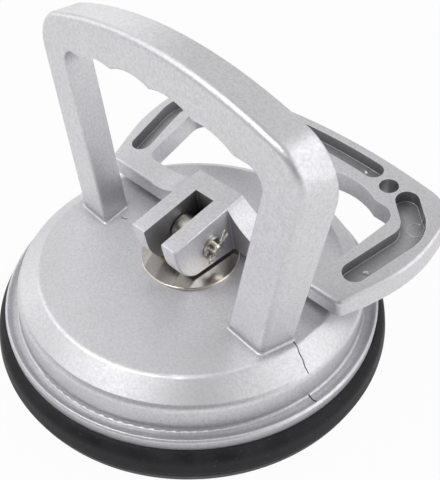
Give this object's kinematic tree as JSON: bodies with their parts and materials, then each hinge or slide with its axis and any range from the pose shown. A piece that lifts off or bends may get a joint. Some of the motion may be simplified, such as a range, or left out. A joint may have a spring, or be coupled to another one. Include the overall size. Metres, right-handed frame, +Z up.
{
  "type": "floor tile suction lifter",
  "caption": "Suction lifter for floor tiles: a cast disc with an arched grip over a rubber pad, and a cam lever that pulls the middle of the pad up.",
  "frame": {"origin": "on the axis of the disc, at the flat underside of the rubber pad", "axes": "+Z up out of the pad, X along the span of the arch grip, +Y to the side on which the lever lies when it is down"},
  "size_m": [0.1178, 0.1199, 0.0933],
  "materials": {
    "cast_aluminium": "fine blasted, silver",
    "black_rubber": "satin",
    "zinc_steel": "zinc plated",
    "nickel_steel": "nickel plated",
    "nickel_washer": "bright nickel",
    "spring_steel": "drawn wire"
  },
  "bodies": {
    "housing": {"body_casting": "cast_aluminium", "suction_pad": "black_rubber", "return_spring": "spring_steel", "thrust_washer": "nickel_washer"},
    "lift_plate": {"pad_plate": "zinc_steel"},
    "stud": {"lift_stud": "nickel_steel"},
    "lever": {"lever": "cast_aluminium", "pivot_pin": "nickel_steel", "pin_washer": "nickel_washer", "split_pin": "spring_steel"}
  },
  "joints": [
    {"name": "stud_lift", "type": "slide", "parent": "housing", "child": "lift_plate", "axis": [0, 0, 1], "range_m": [0, 0.00521], "deforming": ["suction_pad", "return_spring"]},
    {"name": "lever_swivel", "type": "hinge", "parent": "lift_plate", "child": "stud", "pos_m": [0, 0, 0], "axis": [0, 0, 1], "range_deg": [-7, 0]},
    {"name": "lever_pivot", "type": "hinge", "parent": "stud", "child": "lever", "pos_m": [0, 0, 0.0329], "axis": [0.9981, 0.061, 0], "range_deg": [0, 79.5]}
  ],
  "couplings": [
    {"joint": "stud_lift", "follows": "lever_pivot", "m_per_rad": 0.00375}
  ]
}
